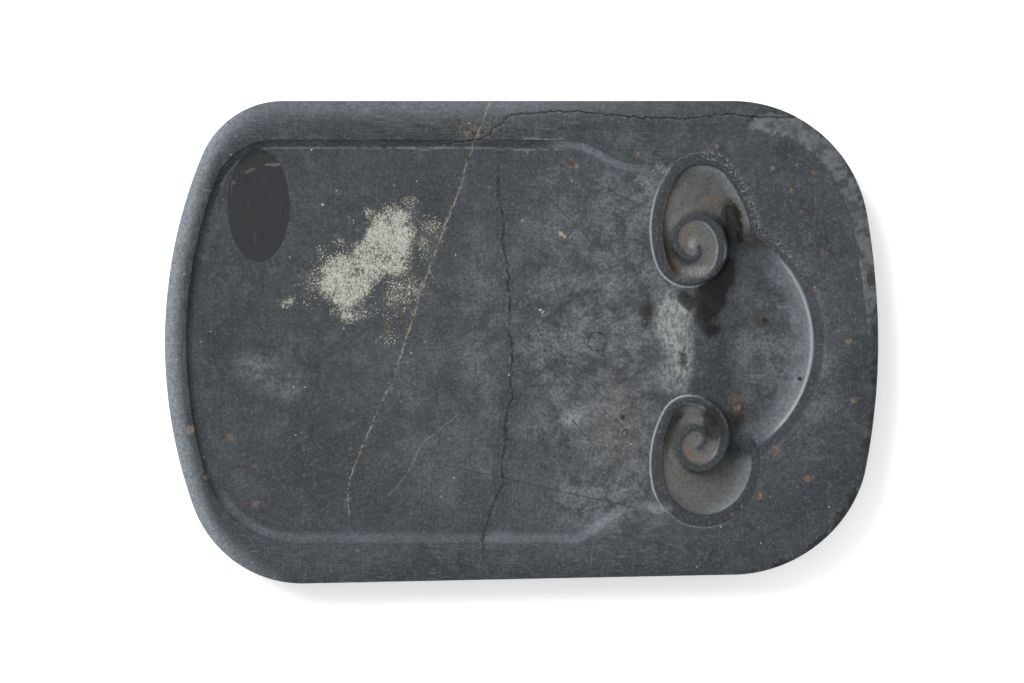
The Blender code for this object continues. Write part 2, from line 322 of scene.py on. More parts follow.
def quarter(share):
    """A hollow quarter-round: steep at 0, level at 1."""
    return np.sqrt(np.clip(1 - (1 - np.clip(share, 0, 1)) ** 2, 0, 1))


def relief(points):
    """The height in millimetres at each place in the plan, and the distances that the finish reads."""
    x, y = points.T
    rim = measured(points, closed_outline, 90.0)[0]
    floor = measured(points, floor_edge, 60.0)[0]
    marks = {}
    for name, line in veins.items():
        marks[name], place = measured(points, line, 6.0)
        on_line = (place > 0.3) & (place < len(line) - 1.3)
        marks["at_" + name] = (1 - ease(abs(marks[name]), 1.5, 3)) * on_line
    marks["scratch"], marks["at_scratch"] = np.full(len(points), 6.0), np.zeros(len(points))
    for ends in SCRATCHES:
        off, place = measured(points, evenly(ends, 1.0), 6.0)
        here = (1 - ease(abs(off), 1.5, 3)) * ease(place, 0.2, 2)
        here = here * (1 - ease(place, place.max() - 2, place.max() - 0.2))
        marks["scratch"] = np.where(here > marks["at_scratch"], off, marks["scratch"])
        marks["at_scratch"] = np.maximum(here, marks["at_scratch"])
    marks["rim"], marks["floor"] = rim, floor

    # The shoulder, its rounded outer edge, the bevel at the back right and the roll down to the floor
    worn = 1 - ease(x - 0.25 * y, 30, 75)
    round_run = 1.3 + 3.7 * worn
    round_drop = 0.9 + 0.5 * worn + 1.9 * ease(-x, 62, 88)
    z = TOP - 0.08 + 0.06 * drift(points, 9, 1) - round_drop * (1 - quarter(rim / round_run))
    bevel = np.maximum(marks["crease"], 0)
    share = bevel / (bevel + np.maximum(rim, 0.001))
    beyond = (marks["crease"] > 0) & (marks["crease"] < 6) & (rim < 7) & (y > -4)
    marks["bevel"] = np.where(beyond, ease(bevel, 0, 0.35) * ease(y, -2, 10), 0)
    z = np.where(beyond, np.minimum(z, TOP - 1.7 * share * ease(y, -2, 14)), z)
    z -= FLOOR_ROLL * (1 - np.clip(-floor / 4, 0, 1)) ** 2 * (floor <= 0) * (x < LIP)

    # The grinding floor
    along = np.clip((x + LENGTH / 2) / (LIP + LENGTH / 2), 0, 1)
    ground = TOP - FLOOR_LEFT + (FLOOR_LEFT - FLOOR_LIP) * along
    ground += 0.05 * drift(points, 14, 2) + 0.02 * drift(points, 4, 3)
    wall = 0.75 + 2.1 * ease(np.abs(y), 25, 50)
    soft = ease(np.abs(y), 25, 50) * 0.6
    down = quarter(floor / wall) * (1 - soft) + ease(floor / wall, -0.15, 1) * soft
    sunk = TOP - FLOOR_ROLL + (ground - TOP + FLOOR_ROLL) * down

    # The bowl of the well, and the slope into it from the lip
    inside = 1 - ((x - BOWL_X) / BOWL_HALF[0]) ** 2 - (y / BOWL_HALF[1]) ** 2
    bowl = TOP - WELL_DEPTH * np.sqrt(np.maximum(inside, 0.02)) + 0.04 * drift(points, 6, 4)
    slope = ease(x, LIP - 2.5, LIP + 12.5)
    basin = sunk * (1 - slope) + bowl * slope
    in_floor = (floor > 0) & (x < LIP + 3.9)

    # The middle lobe's coved wall, with its own flat band outside
    dx, dy = x - CENTRE[0], y
    radius, angle = np.hypot(dx, dy), np.degrees(np.arctan2(dy, dx))
    facing = (angle > CUSPS[0]) & (angle < CUSPS[1])
    corner = np.min([np.hypot(dx - LOBE_RADIUS * math.cos(math.radians(a)),
                              dy - LOBE_RADIUS * math.sin(math.radians(a)))
                     for a in CUSPS], axis=0)
    lobe = np.where(facing, LOBE_RADIUS - radius, corner)
    band_top = TOP - BAND_DROP + 0.02 * drift(points, 3, 5)
    in_lobe = (radius < LOBE_RADIUS) & (x > CENTRE[0] - 2)
    cove = quarter(lobe / COVE_RUN)
    z = np.where(in_floor, sunk, z)
    hollowed = band_top - (band_top - basin) * np.where(in_lobe, cove, 1)
    z = np.where(in_floor | in_lobe, np.where(x > LIP - 3, hollowed, sunk), z)
    outside = np.where(facing & ~in_lobe, radius - LOBE_RADIUS - 2.7, 9)
    z = np.where(outside < 9, z - BAND_DROP * (1 - ease(outside, -0.1, 0.5)), z)
    marks["lobe"] = np.where(facing, LOBE_RADIUS - radius, 9)

    # The bands, the side lobes and the channels of the scrolls
    marks["band"] = np.full(len(points), -OFF_BAND)
    marks["turned"] = np.zeros(len(points))
    for scroll in SCROLLS.values():
        whole = scroll["rail"][-1, 3]
        off, turned = measured(points, scroll["spine"], OFF_BAND, scroll["rail"][:, 3])
        off = off * scroll["turn"]
        gap = np.abs(off) - band_width(turned, scroll) / 2
        inner = off > 0
        groove = np.where(inner, turned, turned - 360)
        channel = TOP - CHANNEL_DEPTH + CHANNEL_RISE * np.clip((groove - 230) / (whole - 360 - 230), 0, 1)
        petal = TOP - CHANNEL_DEPTH - (TOP - CHANNEL_DEPTH - bowl) * ease(x + 0.25 * np.abs(y), 44, 68)
        petal = bowl + (petal - bowl) * ease(np.abs(y), 22, 33)
        deep = petal * (1 - ease(groove, 170, 290)) + channel * ease(groove, 170, 290)
        run = np.where(inner, 3.2 - 1.6 * ease(turned, 70, 150) + 0.6 * ease(turned, 300, 360), 1.4)
        hollow = 0.75 * quarter(gap / run) + 0.25 * ease(gap / run, 0, 1.6)
        carved = band_top - (band_top - deep) * hollow * np.where(in_lobe & (groove < 190), cove, 1)
        z = np.where((inner & (off < OFF_BAND)) | (turned > CURL) & (off > -OFF_BAND),
                     np.where(gap > 0, carved, z), z)
        # outer walls: down to the floor on the left, down into the well on the right
        beside_floor = ease(turned, 130, 150) * (1 - ease(turned, 285, 330))
        foot = np.where(turned < 130, 9, 1.3 * (1 - beside_floor))
        head = -0.1 - 0.6 * beside_floor
        climb = 1 - ease(gap, head, np.maximum(foot, head + 0.4))
        under = ~inner & (turned > 300) & (turned <= CURL) & (off > -OFF_BAND)
        z = np.where(under & ~in_lobe & ~in_floor, petal, z)
        outer = ~inner & (turned > 60) & (turned <= CURL) & (in_floor | in_lobe | under) & (off > -OFF_BAND)
        z = np.where(outer & (gap > head), z + (band_top - z) * climb, z)
        edge = 0.22 * (1 - quarter(np.minimum(-gap, -gap + head + 0.1) / 0.5))
        limit = np.where(inner | (turned > CURL), 0, np.where(turned > 130, head, 0))
        z = np.where(gap < limit, band_top - edge, z)
        shoulder = ~inner & (turned < 160) & (gap > 0) & ~in_floor & ~in_lobe
        z = np.where(shoulder, z - BAND_DROP * (1 - ease(gap, -0.1, 0.5)), z)
        closer = -gap > marks["band"]
        marks["band"] = np.where(closer, -gap, marks["band"])
        marks["turned"] = np.where(closer, np.where(inner, turned, -turned), marks["turned"])

    # The open crack, and chips off the right end's edge
    z -= 0.4 * np.clip(1 - np.abs(marks["crack"]) / 0.28, 0, 1)
    ragged = drift(points, 3.4, 6) + 0.7 * drift(points, 1.3, 7) + 0.45 * drift(points, 0.6, 9)
    at_right_end = ease(x, 58, 84) * (1 - ease(y, 18, 40) * 0.7) * (1 - ease(rim, 1.6, 3.2))
    marks["chips"] = ease(ragged - rim / 1.6, -0.35, 0.5) * at_right_end
    z -= 0.45 * marks["chips"]
    notch = np.exp(-(((x + 84.6) / 1.4) ** 2 + ((y - 40.6) / 2.6) ** 2))
    notch = notch * ease(drift(points, 1.0, 12), -0.8, 0.4)
    crumbled = patches(points, CRUMB, 0.5)
    z -= 0.7 * notch + 0.35 * crumbled * ease(drift(points, 0.9, 13), -0.1, 0.5)
    marks["crumb"] = np.maximum(crumbled, notch)
    return z, marks


# %% [markdown]
# ## Placing the points
#
# Rows of points follow each edge closely, because an edge is only as crisp as the points along it. A plain
# grid fills the quiet surface between. A map of small squares keeps two points from falling on each other.

# %% Points in the plan
class Ground:
    """Collects points, and refuses one that falls in a square already taken."""

    def __init__(self, square):
        self.square, self.taken, self.kept = square, set(), []

    def add(self, points, spread=0):
        cells = np.floor(points / self.square).astype(int)
        for point, (i, j) in zip(points, cells):
            if spread and any((i + a, j + b) in self.taken for a in range(-spread, spread + 1)
                              for b in range(-spread, spread + 1)):
                continue
            if (i, j) not in self.taken:
                self.taken.add((i, j))
                self.kept.append(point)


def row_beside(line, distance, closed=False):
    """The line moved to its left by a distance."""
    ends = (np.roll(line, -1, 0) - np.roll(line, 1, 0)) if closed else np.gradient(line, axis=0)
    across = np.column_stack((-ends[:, 1], ends[:, 0])) / np.hypot(*ends.T)[:, None]
    return line + distance * across


ground = Ground(0.1)
ground.add(outline)
for distance in (0.05, 0.2, 0.45, 0.8, 1.25, 1.8, 2.5, 3.3, 4.2, 5.2):
    ground.add(row_beside(outline, distance, closed=True))
for scroll in SCROLLS.values():
    for share, extra in ((0, -0.12), (0, 0), (0, 0.15), (0, 0.35), (0, 0.6), (0.5, 0), (1, -0.35), (1, -0.15),
                         (1, 0), (1, 0.12), (1, 0.3), (1, 0.55), (1, 0.85), (1, 1.25), (1, 1.7), (0, -0.35),
                         (0, -0.65), (0, -1.0), (0, -1.35), (0, -1.8), (1, 2.3), (1, 3.0)):
        ground.add(beside(scroll["rail"], scroll["turn"], share * scroll["width"] + extra))
for extra in (3.3, 2.85, 2.6, 1.4, 0.3, 0.12, 0, -0.1, -0.25, -0.5, -0.8, -1.2, -1.7, -2.3, -3, -3.9, -4.9,
              -6, -7):
    ground.add(arc(CENTRE, LOBE_RADIUS + extra, CUSPS[0] - 1, CUSPS[1] + 1, 0.7))
for distance in (0, 0.06, 0.2, 0.4, 0.7, 1.1, 1.6, 2.1, 2.6, -0.15, -0.45, -0.9, -1.5):
    ground.add(row_beside(floor_edge[floor_edge[:, 0] < 38], distance))
for distance in (0, 0.13, -0.13, 0.3, -0.3):
    ground.add(row_beside(veins["crack"], distance))
ground.add(veins["crease"])
ground.add(row_beside(veins["crease"], -0.4))
rows = len(ground.kept)


def grid(corner, size, step):
    """A grid of staggered points over a rectangle."""
    across = np.arange(0, size[0], step)
    up = np.arange(0, size[1], step * 0.87)
    x, y = np.meshgrid(across, up)
    x = x + (np.arange(len(up)) % 2)[:, None] * step / 2
    return np.column_stack((x.ravel(), y.ravel())) + corner


def inside_outline(points, margin):
    close = measured(points, closed_outline, 200.0)[0]
    return points[close > margin]


ground.add(inside_outline(grid((34, -55), (46, 108), 0.52), 0.4), spread=1)
ground.add(inside_outline(grid((-94, -64), (189, 128), 1.0), 0.4), spread=3)
plan = np.array(ground.kept)
print(f"{rows} points in rows, {len(plan)} in all")

# %% Triangles over the plan
ring = list(range(len(outline)))
made = geometry.delaunay_2d_cdt([Vector(point) for point in plan], [], [ring], 1, 1e-5)
top_plan = np.array([tuple(point) for point in made[0]])
top_faces = np.array(made[2])
order = {old: new for new, olds in enumerate(made[3]) for old in olds}
top_ring = [order[i] for i in ring]
height, marks = relief(top_plan)
print(f"{len(top_faces)} triangles on top, {height.min():.2f} to {height.max():.2f} mm high")

# %% [markdown]
# ## Closing the stone
#
# The carved surface is only the top. Rings of points carry its border down the side, in round the foot and
# under the base, and a coarse net closes the underside. The side of the real stone is ground by hand, so
# the rings waver a little.

# %% Side and base
FOOT = 1.8
inward = row_beside(outline, 1.0, closed=True) - outline
ring_top = height[top_ring]
rings = []
for share in (0.1, 0.22, 0.36, 0.5, 0.64, 0.78, 0.9, 1.0):
    level = ring_top + (FOOT - ring_top) * share
    waver = 0.3 * ease(share, 0, 0.3) * (0.5 + 0.5
                                         * drift(np.column_stack((outline @ (0.7, 0.7), level * 2)), 7, 8))
    rings.append(np.column_stack((outline + inward * waver[:, None], level)))
for angle in (25, 50, 72, 90):
    turn = math.radians(angle)
    edge_in = waver + FOOT * (1 - math.cos(turn))
    rings.append(np.column_stack((outline + inward * edge_in[:, None],
                                  np.full(len(outline), FOOT * (1 - math.sin(turn))))))

base_ring = rings.pop()
base_inner = grid((-92, -62), (184, 124), 3.0)
base_inner = base_inner[measured(base_inner, closed_outline, 200.0)[0] > 4.5]
base_plan = np.vstack((base_ring[:, :2], base_inner))
made = geometry.delaunay_2d_cdt([Vector(point) for point in base_plan], [], [ring], 1, 1e-5)
base_order = {old: new for new, olds in enumerate(made[3]) for old in olds}
base_points = np.array([(x, y, 0.0) for x, y in made[0]])
base_faces = np.array(made[2])[:, ::-1]

# %% The stone's mesh
count, border = len(outline), np.arange(len(outline))
points = [np.column_stack((top_plan, height)), *rings, base_points]
starts = np.cumsum([0] + [len(part) for part in points])
loops = [np.array(top_ring)] + [starts[1 + i] + border for i in range(len(rings))]
loops.append(starts[-2] + np.array([base_order[i] for i in border]))
faces = [top_faces, base_faces + starts[-2]]
for upper, lower in zip(loops, loops[1:]):
    next_upper, next_lower = np.roll(upper, -1), np.roll(lower, -1)
    faces.append(np.column_stack((upper, lower, next_lower)))
    faces.append(np.column_stack((upper, next_lower, next_upper)))
points, faces = np.vstack(points), np.vstack(faces)
stone_mesh = bpy.data.meshes.new("carved_stone")
stone_mesh.from_pydata((points * MM).tolist(), [], faces.tolist())
work = bmesh.new()
work.from_mesh(stone_mesh)
print("open edges:", sum(len(edge.link_faces) != 2 for edge in work.edges), "volume cm3:",
      round(work.calc_volume(signed=True) * 1e6, 1))
work.free()
stone_mesh.shade_smooth()
stone = bpy.data.objects.new("carved_stone", stone_mesh)
scene.collection.objects.link(stone)

# %% [markdown]
# ## Marks on the stone
#
# The finish needs to know how far each point is from every edge and vein, and where the lime, the old ink
# with its painted shadow and the worn places with their painted highlight lie. All of that is stored on the
# mesh as named attributes.

# %% Where they lie
LIME = [(-46.6, 16.5, 7.6, 8.4, 0, 1), (-34.7, 26.6, 7.2, 9.6, -10, 1), (-40.5, 21, 6, 6, 0, 1),
        (-62, 10.2, 1.9, 1.6, 0, 0.85),
        (-29.4, 37.3, 3.2, 1.6, 10, 0.7), (-40, 34.8, 2.4, 1.5, -20, 0.75), (-48.4, 27.5, 1.7, 1.6, 0, 0.75),
        (-45.4, 32, 2, 1, 0, 0.5), (-45.4, 7.6, 5.5, 2.2, 0, 0.75), (-24.8, 28.4, 4, 6.5, -15, 0.6),
        (-31.5, 14, 6, 8, -20, 0.62), (-35.5, 3, 3, 5, -15, 0.5), (-56, 15.3, 3.4, 6.5, 0, 0.55),
        (-53, 24, 3, 3, 0, 0.5)]
HAZE = [(22, -2, 26, 46, 0, 0.8), (70, -3, 13, 25, 0, 0.75), (33, -8, 12, 34, 0, 0.6),
        (22, -42, 16, 8, 0, 1), (-11, 0, 7, 30, 0, 0.5), (34, 34, 10, 14, 20, 0.9),
        (20, 40, 14, 6, -20, 0.7), (33, -34, 12, 14, 0, 0.8),
        (38, -4, 6, 12, 0, 0.9), (13, -20, 5, 4, 0, 1), (-67, -9, 9, 5, -20, 0.8), (0, -20, 40, 30, 0, 0.35)]
# Dried ink, and painted shadow: the patches right of the scrolls and on the slope down from the lip also
# stand for shade.
INK_AND_SHADOW = [(56.4, 31, 2.8, 7, 5, 0.95), (62.4, 21.4, 3.4, 2.4, -35, 0.5), (50.3, 11, 4.2, 7.5, -15, 1),
       (54, 17, 3, 6, -25, 1),
       (50.5, 3.5, 3, 2.5, 0, 0.8), (51.5, -22, 3.6, 6.5, 15, 0.8), (58.5, -9, 2.2, 9, 18, 0.4),
       (58, -20, 3, 5, 0, 0.7),
       (56.5, 1, 2, 7, 28, 0.35), (33, 6.5, 2.4, 7, -8, 0.55), (43.3, -4, 1.6, 4.5, 0, 0.7),
       (44, 11, 2, 3.5, 30, 0.9),
       (36, 0, 6, 2, 40, 0.35)]
MUD = [(63.5, 6, 4.2, 3.4, -35, 1), (61.5, 9.5, 3, 2, 20, 0.7), (65.3, 5.5, 1.2, 0.9, 20, 1),
       (39.5, 35, 2, 9, 5, 0.35),
       (41, 18.5, 2.4, 2.2, 0, 0.8), (44.8, 15.5, 2.4, 2.4, 0, 0.6)]
PALE_LIP = [(39.8, 4.5, 3.6, 7.5, 8, 1), (41.5, 8, 3.5, 4, 0, 0.8), (43, -3, 2.6, 9, -4, 0.8),
            (40, -9, 4, 4, 0, 0.5),
            (45.7, 26.2, 1.2, 1.2, 0, 0.5), (46, 18.6, 4, 1.6, 10, 0.4),
            (37.4, 46.4, 1.8, 1.1, -30, 0.7), (13.4, -20, 2.8, 1.8, 15, 0.5), (36.3, -44.6, 2.2, 0.9, 0, 0.6)]
STAIN = [(43.2, 29.4, 1.8, 4.2, -15, 0.9), (40, 20.5, 1.6, 3.4, 25, 1), (43.8, -29.2, 2, 4, 15, 0.8),
         (48, -32, 3.4, 1.6, 10, 0.7),
         (58, -17.5, 2.2, 3.4, 20, 0.7), (58.6, 35.8, 1.6, 2.4, 0, 0.6), (51.7, 37.8, 1.4, 1.6, 0, 0.5),
         (62.5, 27, 3, 1.6, -35, 0.45), (26, -22, 7, 11, 0, 0.22),
         (39, 35, 1.4, 6, 0, 0.4), (38, -38, 1.2, 5, 0, 0.4), (52.5, -27, 1.2, 4, 0, 0.5)]
SMEAR = [(19.5, 59.3, 13, 3, 3, 0.8), (33, 57.5, 7, 2.4, -6, 0.7), (49, 57, 4, 2.4, 0, 0.5),
         (70, 51, 3, 2, -20, 0.7),
         (-50, -35, 14, 9, 10, 0.45), (-28, 44, 9, 5, 0, 0.35), (29, 22, 8, 10, 20, 0.35),
         (6, 0, 5, 26, 0, 0.4), (-78, 6, 8, 22, 0, 0.3),
         (20, -58.5, 50, 5, 1.5, 0.35), (80, -34, 14, 22, 25, 0.35), (-72, -53, 14, 6, -30, 0.3)]
ragged = points[:, :2] + 1.1 * np.column_stack([drift(points[:, :2], 2.4, seed) for seed in (41, 42)])
masks = {
    "lime": np.maximum(patches(ragged, LIME[:3], 0.4), patches(ragged, LIME[3:], 0.75)),
    "haze": patches(points, HAZE, 0.6),
    "ink": patches(points, INK_AND_SHADOW, 0.8),
    "mud": patches(points, MUD, 0.85),
    "pale_lip": patches(points, PALE_LIP, 0.55),
    "stain": patches(points, STAIN, 0.7),
    "smear": patches(points, SMEAR, 0.7),
}

# %% Worn and stained places, and painted highlight on walls that face the lamp
flat = top_plan
x, y = flat.T
band, turned, lobe, floor = marks["band"], marks["turned"], marks["lobe"], marks["floor"]
inner_side, outer_side = turned > 0, turned < 0
angle = np.degrees(np.arctan2(y, x - CENTRE[0]))


# Pale outer band edges: partly real wear, partly painted highlight on the band walls that face the lamp.
outer_wear_and_highlight = outer_side * between(band, -0.2, 0.35, 0.2) * between(-turned, 140, 300, 25)
outer_wear_and_highlight = np.maximum(outer_wear_and_highlight, 0.4 * outer_side * between(band, -0.25, 0.1, 0.15)
                        * between(-turned, 70, 140, 15))
outer_wear_and_highlight = np.maximum(outer_wear_and_highlight, 0.6 * outer_side * between(band, 0.0, 0.4, 0.2)
                        * between(-turned, 300, 350, 20))
# Pale inner wall at the right of each side lobe: partly wear, partly painted highlight where the wall faces
# the lamp.
lobe_wear_and_highlight = inner_side * ease(-band, 0, 0.3) * (1 - ease(turned, 60, 115)) * (band < 0)
lobe_wear_and_highlight *= ease(np.abs(y), 28.5, 33)
lobe_wear_and_highlight *= 0.45 * (1 - ease(-band, 0.6, 3.6)) + 0.3 * (1 - ease(-band, 0.5, 1.2))
# Pale inner edge round the curls: partly wear, partly painted highlight on the lit side of the channel.
curl_wear_and_highlight = inner_side * between(-band, -0.1, 0.3, 0.15) * between(turned, 290, 430, 30) * 0.7
# Pale coved wall at the right of the well: partly wear, partly painted highlight, brightest at its top edge.
cove_shades = 0.32 * (1 - ease(lobe, 2.5, 6.5)) + 0.42 * (1 - ease(lobe, 0.3, 3.2))
cove_shades = cove_shades + 0.5 * (1 - ease(lobe, 0.3, 1.1))
cove_wear_and_highlight = np.where(lobe < 9, ease(lobe, -0.1, 0.2) * cove_shades, 0)
cove_wear_and_highlight *= between(angle, -50, 46, 12)
cove_wear_and_highlight *= (np.hypot(x - CENTRE[0], y) < LOBE_RADIUS)
# Pale front wall of the grinding floor: partly wear, partly painted highlight, as this wall faces back toward
# the lamp.
front_wall_highlight_and_wear = between(floor, 0.2, 2.6, 0.7) * ease(-y, 36, 48) * (x < LIP - 6)
front_wall_highlight_and_wear = front_wall_highlight_and_wear * (0.3 + 0.15 * drift(flat, 7, 24)) * (0.65 + 0.35 * ease(x, -12, 4))
waver = floor + 0.35 * drift(flat, 5, 21) + 0.2 * drift(flat, 1.6, 22)
back_foot = between(waver, 2.0, 2.35, 0.16) * ease(y, 30, 45) * (x < 12) * (0.5 + 0.35 * drift(flat, 6, 23))
# Pale left rim, palest at its outer edge: partly wear, partly painted highlight where the rounded edge turns
# toward the lamp.
left_rim_highlight_and_wear = ease(-x, 60, 86) * (1 - ease(marks["rim"], 0.8, 5.4)) * 0.74
back_rim = ease(y, 40, 58) * (1 - ease(x, -10, 60)) * (1 - ease(marks["rim"], 0.5, 7)) * 0.3
rim_chips = between(floor + 0.25 * drift(flat, 1.1, 27), -0.35, 0.0, 0.15)
rim_chips = rim_chips * ease(y, 40, 50) * between(x, 0, 12, 1.5)
rim_chips *= ease(drift(flat, 1.4, 26), -0.3, 0.4) * 0.8
ogee_wear = between(floor, 0.2, 2.2, 0.5) * ease(y, 38, 44) * between(x, 8, 36, 3)
ogee_wear = ogee_wear * (0.35 + 0.2 * drift(flat, 5, 25))
# The worn mask holds real wear and, on walls and edges that face the lamp, painted highlight.
worn = np.max([outer_wear_and_highlight, lobe_wear_and_highlight, curl_wear_and_highlight, cove_wear_and_highlight, front_wall_highlight_and_wear, back_foot, ogee_wear, left_rim_highlight_and_wear,
               back_rim, rim_chips], axis=0)
rough = outer_side * between(band, -1.1, 1.9, 0.5) * (1 - ease(-turned, 75, 130)) * ((x > 48) & (y > 20))
rough = np.maximum(rough, 0.8 * between(lobe, -3.2, -1.2, 0.5) * between(angle, 30, 62, 8))
carving = np.where(band > -9, ease(-band, 0.0, 0.6) * np.maximum(inner_side, -turned > 395), 0)
carving *= 1 - (1 - ease(np.abs(y), 27.5, 35)) * ease(x, 52, 57)
on_band = np.maximum(ease(band, -0.12, 0.22),
                     between(lobe, -2.7, -0.1, 0.15) * (angle > CUSPS[0]) * (angle < CUSPS[1]) * 0.8)
masks_top = {"worn": worn, "rough": rough, "carving": carving, "on_band": on_band, "bevel": marks["bevel"]}
masks_top |= {name: marks[name] for name in marks if name.startswith("at_")}

# %% Attributes
def write_mark(name, values):
    """Stores one number for each point of the stone."""
    layer = stone_mesh.attributes.new(name, "FLOAT", "POINT")
    layer.data.foreach_set("value", values.astype(np.float32))


def store(name, top_values, rest=0.0, fading=False):
    """One value for each point: the carved surface's own, its border's down the side, one for the base."""
    edge_values = top_values[top_ring]
    kept = [max(0, 1 - (i + 1) / 4) if fading else 1 for i in range(len(rings))]
    down = [rest + (edge_values - rest) * share for share in kept]
    write_mark(name, np.concatenate([top_values, *down, np.full(len(base_points), rest)]))


for name in ("floor", "crack", "crease", "tan_vein", "pale_vein", "dark_vein", "scratch", "chips"):
    store(name, marks[name], {"chips": 0.0, "floor": -9.0}.get(name, 9.0), fading=name == "chips")
masks_top["crumb"] = marks["crumb"]
masks_top["shaded"] = inner_side * between(-band, 0.0, 0.7, 0.3) * between(turned, 120, 195, 30)
masks_top["end"] = ease(-x, 66, 86) * (1 - ease(np.abs(y), 38, 56))
masks_top["sides"] = (1 - ease(x, 35, 55)) * (1 - masks_top["end"])
for name, values in masks_top.items():
    store(name, values, fading=not name.startswith("at_"))
top_count = len(top_plan)
for name, values in masks.items():
    values[top_count:] = 0
    write_mark(name, values)
ring_sides = [np.full(count, min(1, 0.4 + 0.2 * i)) for i in range(len(rings))]
write_mark("side", np.concatenate([np.zeros(top_count), *ring_sides, np.ones(len(base_points))]))
print("attributes:", len(stone_mesh.attributes))

# %% [markdown]
# ## A flat map for baking
#
# The carved surface is laid out as it is seen from above, because that is where all the detail is. The side
# is cut into three strips, and the base is laid beside them at a smaller size.

# %% Bake map
uv = stone_mesh.uv_layers.new(name="OFBake")
corner_points = faces.ravel()
place = points[corner_points]
span = 0.98 / LENGTH
u = 0.01 + (place[:, 0] + LENGTH / 2) * span
v = 0.99 - (WIDTH / 2 - place[:, 1]) * span
first_wall = len(top_faces) + len(base_faces)
is_base = np.repeat((np.arange(len(faces)) >= len(top_faces)) & (np.arange(len(faces)) < first_wall), 3)
u = np.where(is_base, 0.01 + (place[:, 0] + LENGTH / 2) * span * 0.42, u)
v = np.where(is_base, 0.02 + (place[:, 1] + WIDTH / 2) * span * 0.42, v)
wall_count = len(faces) - first_wall
part = np.tile(np.arange(count), wall_count // count)
level = np.repeat(np.arange(wall_count // (2 * count)), 2 * count)
second = np.repeat(np.tile([False, True], wall_count // (2 * count)), count)
third = (count + 2) // 3
left = part % third
across = np.where(second[:, None], np.column_stack([left, left + 1, left + 1]),
                  np.column_stack([left, left, left + 1]))
down = np.where(second[:, None], np.column_stack([level, level + 1, level]),
                np.column_stack([level, level + 1, level + 1]))
strip = part // third
tall = wall_count / (2 * count)
u[3 * first_wall:] = (0.45 + 0.54 * across / third).ravel()
v[3 * first_wall:] = (0.02 + 0.095 * (strip[:, None] + 0.85 * (1 - down / tall))).ravel()
uv.data.foreach_set("uv", np.column_stack((u, v)).ravel().astype(np.float32))

# %% [markdown]
# ## Writing a finish as sums
#
# Slate's colour is many thin layers laid over each other. A small class lets a shader socket take part in
# Python sums, so each layer reads as one line, and one method makes every other node.

# %% Sums on sockets
class Wire:
    """A shader socket that Python's operators can work on: each operator adds a Math node."""

    def __init__(self, bench, socket):
        self.bench, self.socket = bench, socket

    def math(self, operation, *others):
        return self.bench.node("ShaderNodeMath", {"operation": operation}, dict(enumerate((self, *others))))

    def __add__(self, other): return self.math("ADD", other)
    def __radd__(self, other): return self.math("ADD", other)
    def __sub__(self, other): return self.math("SUBTRACT", other)

    def __rsub__(self, other):
        return self.bench.node("ShaderNodeMath", {"operation": "SUBTRACT"}, {0: other, 1: self})

    def __mul__(self, other): return self.math("MULTIPLY", other)
    def __rmul__(self, other): return self.math("MULTIPLY", other)
    def __abs__(self): return self.math("ABSOLUTE")
    def most(self, other): return self.math("MAXIMUM", other)
    def least(self, other): return self.math("MINIMUM", other)

    def step(self, start, end):
        """0 at start, 1 at end and a smooth change between; start may be the greater."""
        return self.bench.node("ShaderNodeMapRange", {"interpolation_type": "SMOOTHSTEP", "clamp": True},
                               {"Value": self, "From Min": start, "From Max": end})


class Bench:
    """Makes the nodes of one material."""

    def __init__(self, name):
        self.material = bpy.data.materials.new(name)
        self.material.use_nodes = True
        self.tree = self.material.node_tree
        self.shader = self.tree.nodes["Principled BSDF"]
        self.place = self.node("ShaderNodeTexCoord", out="Object")

    def plug(self, target, value):
        if isinstance(value, Wire):
            self.tree.links.new(value.socket, target)
        else:
            target.default_value = value

    def node(self, kind, settings=None, inputs=None, out=0):
        made = self.tree.nodes.new(kind)
        for name, value in (settings or {}).items():
            setattr(made, name, value)
        for name, value in (inputs or {}).items():
            self.plug(made.inputs[name], value)
        return Wire(self, made.outputs[out])

    def mark(self, name):
        return self.node("ShaderNodeAttribute", {"attribute_name": name}, out="Fac")

    def stretched(self, x, y, z, turn=0.0):
        """Object coordinates in millimetres, divided by these lengths."""
        return self.node("ShaderNodeMapping", {},
                         {"Vector": self.place, "Rotation": (0, 0, math.radians(turn)),
                                                  "Scale": (1 / (x * MM), 1 / (y * MM), 1 / (z * MM))})

    def noise(self, size, detail=2.0, roughness=0.5, vector=None, out="Fac"):
        """Noise whose features are about this many millimetres across."""
        vector = vector or self.stretched(size, size, size)
        return self.node("ShaderNodeTexNoise", {}, {"Vector": vector, "Scale": 1.0, "Detail": detail,
                                                    "Roughness": roughness}, out)

    def colour(self, under, over, share):
        """One colour laid over another; the share may change over the surface."""
        made = self.tree.nodes.new("ShaderNodeMix")
        made.data_type = "RGBA"
        for socket, value in ((made.inputs[0], share), (made.inputs[6], under), (made.inputs[7], over)):
            self.plug(socket, value if isinstance(value, (Wire, float, int)) else (*value, 1.0))
        return Wire(self, made.outputs[2])


# %% [markdown]
# ## The slate
#
# The ground colour is a blue-black grey, cloudy at the scale of a hand and gritty at the scale of a grain.
# Over it lie brushed streaks on the rim, grey haze where ink was ground, veins, lime, rust specks and dried
# ink with painted shadow beside the scrolls, and pale worn edges that also carry painted highlight.

